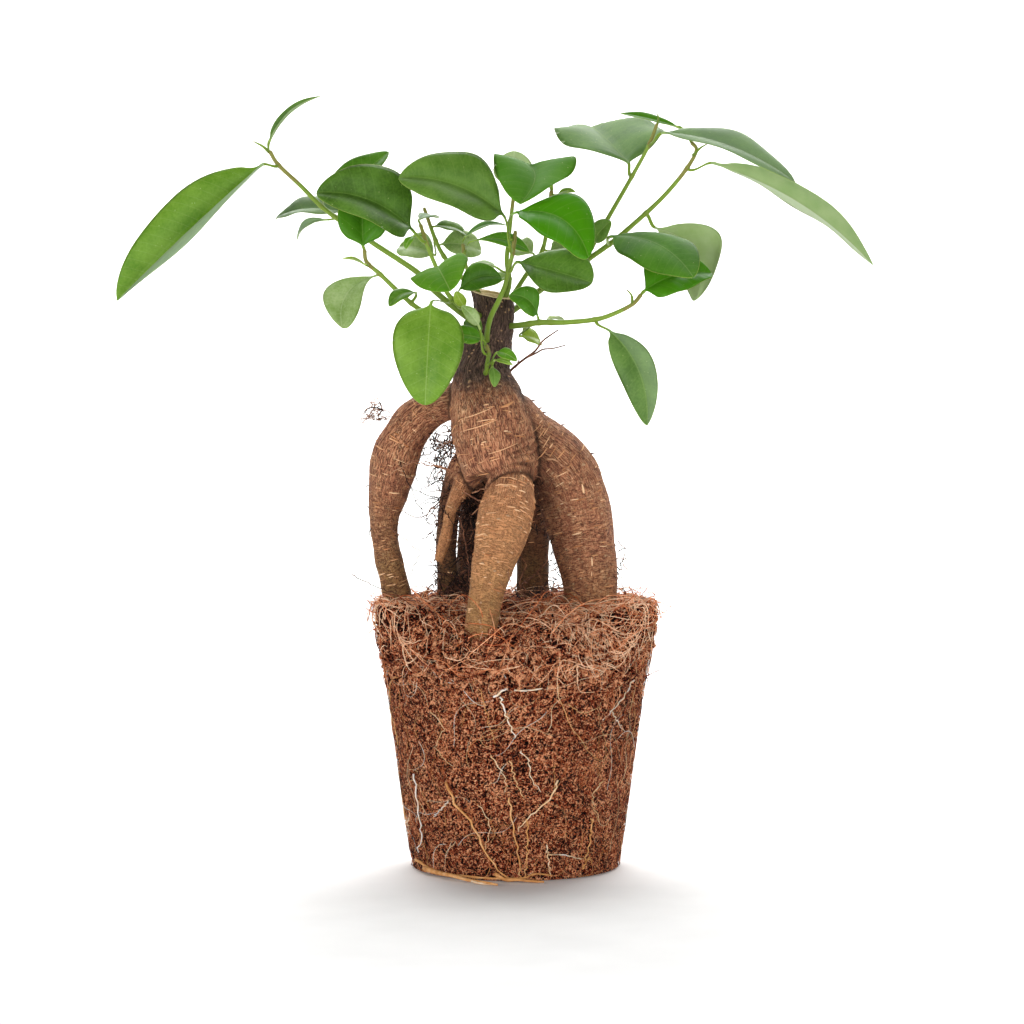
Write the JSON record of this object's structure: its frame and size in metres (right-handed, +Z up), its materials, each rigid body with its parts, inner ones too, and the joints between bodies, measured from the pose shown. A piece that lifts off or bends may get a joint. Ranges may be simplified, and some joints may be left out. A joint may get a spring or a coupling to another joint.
{
  "type": "ginseng ficus bonsai",
  "caption": "House plant with swollen tuberous roots, a cut-back neck, grafted shoots and glossy oval leaves, standing on a bare pot-shaped root ball.",
  "frame": {"origin": "centre of the root ball's flat base", "axes": "+Z up the plant, the face shown in front is towards -Y, and the long far right leaf reaches towards +X"},
  "size_m": [0.2989, 0.1124, 0.3082],
  "materials": {
    "coir_root_ball": "matte",
    "root_bark": "satin",
    "green_stem": "satin",
    "dry_twig": "matte",
    "leaf_dark": "gloss",
    "leaf_mid": "gloss",
    "leaf_bright": "gloss",
    "leaf_young": "satin",
    "leaf_pale": "satin"
  },
  "bodies": {
    "root": {"root_ball": "coir_root_ball", "trunk": "root_bark", "shoot_left_high": "green_stem", "shoot_left_low": "green_stem", "shoot_left_mid": "green_stem", "shoot_back_left": "green_stem", "shoot_centre_thin": "green_stem", "shoot_front": "green_stem", "shoot_centre_back": "green_stem", "shoot_centre_right": "green_stem", "shoot_right_low": "green_stem", "shoot_right_main": "green_stem", "shoot_right_upper": "green_stem", "shoot_trunk_front": "green_stem", "dry_twig": "dry_twig", "leaf_far_left": "leaf_bright", "leaf_curled_tip": "leaf_mid", "leaf_left_back": "leaf_mid", "leaf_left_tail": "leaf_mid", "leaf_left_upright": "leaf_dark", "leaf_left_dark": "leaf_dark", "leaf_left_sliver": "leaf_young", "leaf_left_drooping": "leaf_pale", "leaf_left_small": "leaf_mid", "leaf_big_left": "leaf_dark", "leaf_left_bud": "leaf_bright", "leaf_left_edge_on": "leaf_mid", "leaf_front_low": "leaf_bright", "leaf_front_round": "leaf_bright", "leaf_behind_cut": "leaf_dark", "leaf_back_left": "leaf_pale", "leaf_back_middle": "leaf_pale", "leaf_strap_upper": "leaf_dark", "leaf_strap_lower": "leaf_dark", "leaf_big_centre": "leaf_mid", "leaf_bright": "leaf_mid", "leaf_right_of_centre": "leaf_dark", "leaf_top_back": "leaf_pale", "leaf_pale_stub": "leaf_pale", "leaf_top_folded": "leaf_mid", "leaf_sprout_right": "leaf_bright", "leaf_pale_left": "leaf_pale", "leaf_pale_right": "leaf_pale", "leaf_right_boat": "leaf_dark", "leaf_right_hanging": "leaf_mid", "leaf_under_cut": "leaf_dark", "leaf_right_young": "leaf_young", "leaf_pale_low": "leaf_young", "leaf_far_right": "leaf_mid", "leaf_right_convex": "leaf_dark", "leaf_right_under": "leaf_pale", "leaf_top_narrow": "leaf_dark", "leaf_right_top_left": "leaf_mid", "leaf_right_top": "leaf_mid", "leaf_right_oval": "leaf_mid", "leaf_trunk_left": "leaf_bright", "leaf_trunk_top": "leaf_pale", "leaf_trunk_right": "leaf_bright", "leaf_trunk_low": "leaf_mid"}
  },
  "joints": []
}
